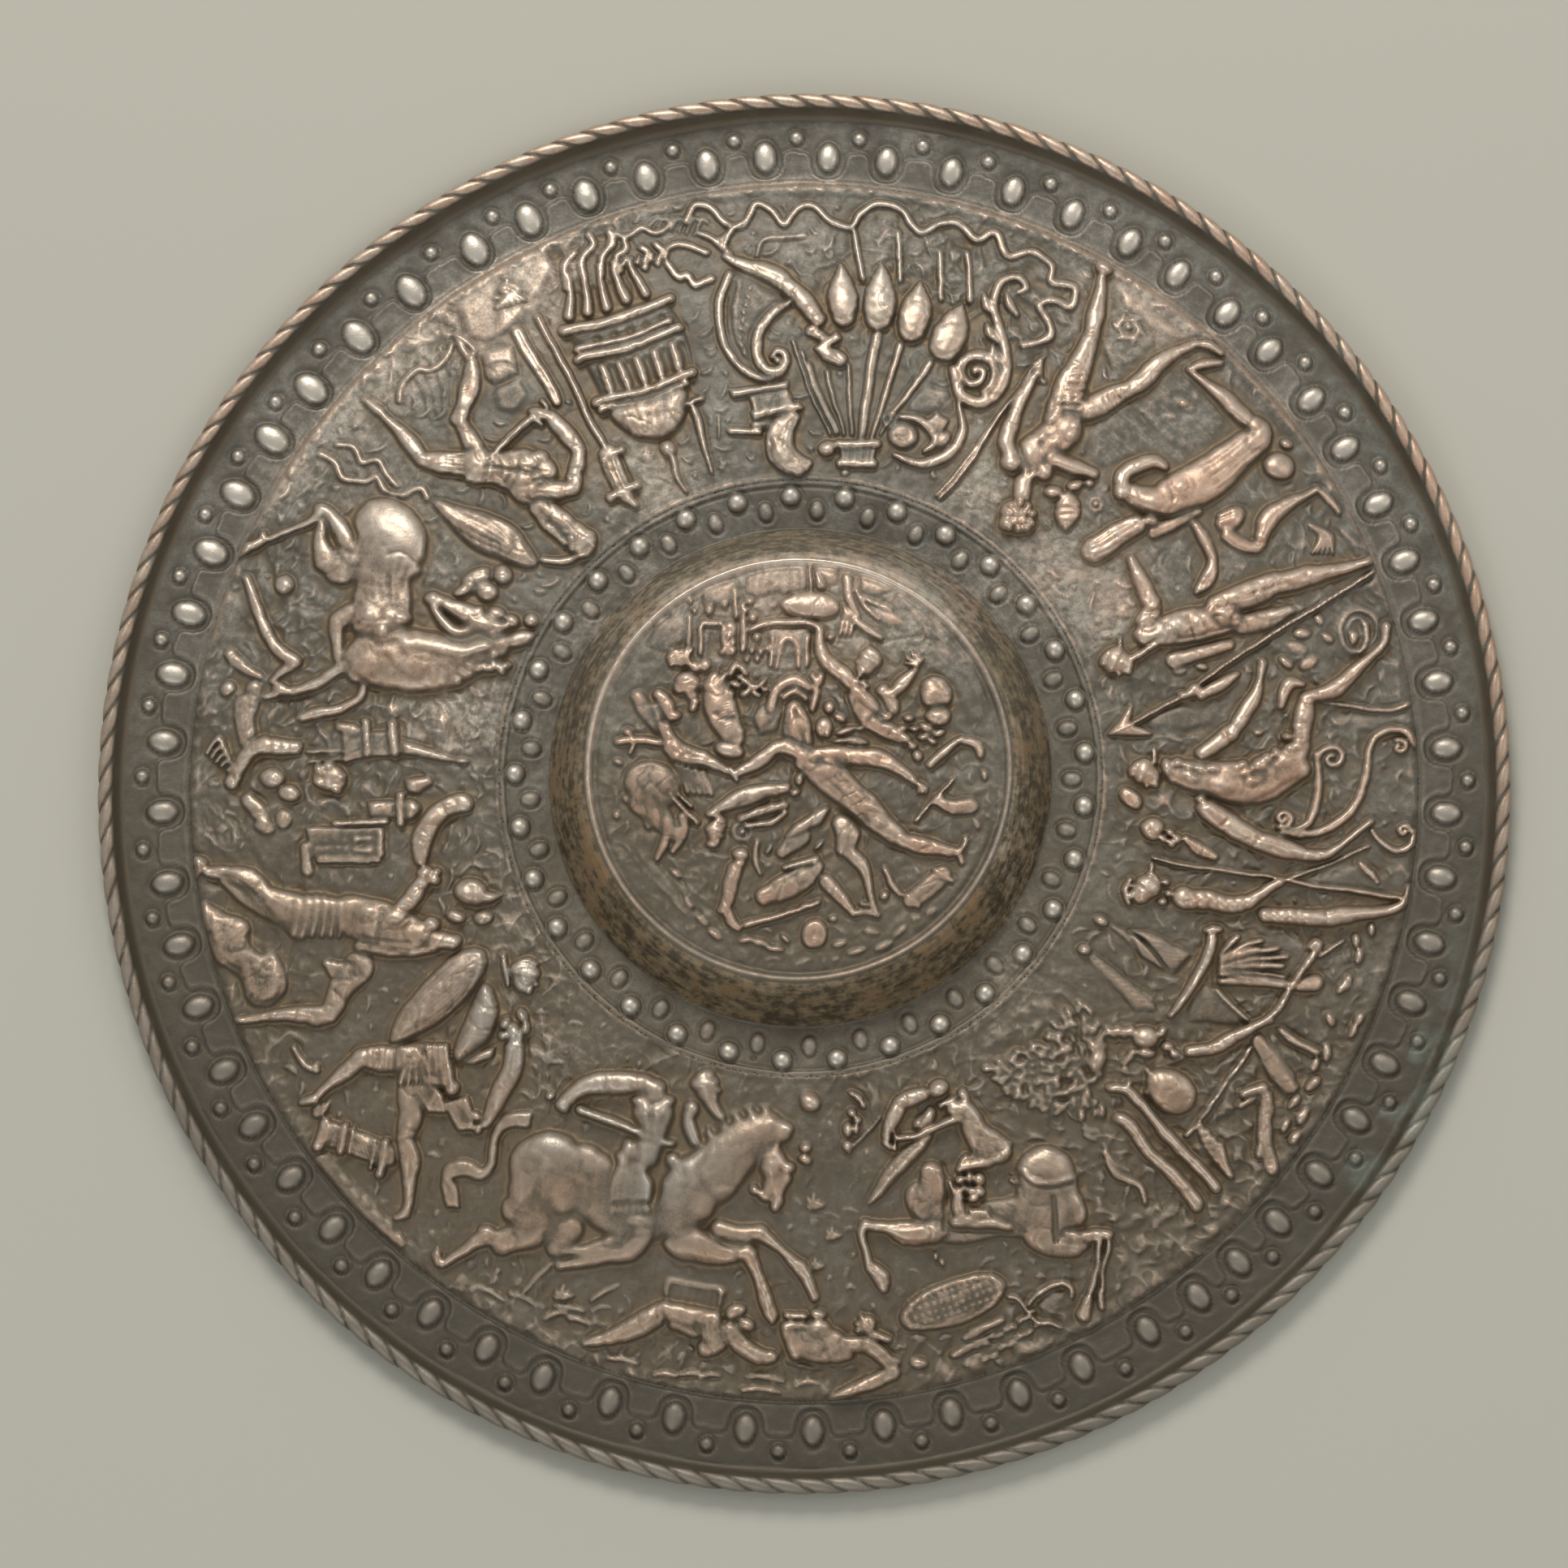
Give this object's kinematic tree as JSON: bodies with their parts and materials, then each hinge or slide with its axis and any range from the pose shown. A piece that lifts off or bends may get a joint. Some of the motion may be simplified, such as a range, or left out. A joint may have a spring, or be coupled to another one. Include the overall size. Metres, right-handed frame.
{
  "type": "embossed buckler shield",
  "caption": "Round parade shield of dark copper, embossed with warriors, horses and trophies round a raised figured boss, with beaded borders and a roped rim.",
  "frame": {"origin": "on the floor under the centre of the shield, in the plane it lies on", "axes": "+Z out of the embossed front face, +Y towards the top of the frieze as the picture shows it, +X to the right seen from the front"},
  "size_m": [0.5592, 0.56, 0.0523],
  "materials": {
    "patinated_copper": "dark brown-grey patinated copper, semi-gloss, rubbed to pinkish bare metal on the high relief"
  },
  "bodies": {
    "root": {"shield": "patinated_copper"}
  },
  "joints": []
}
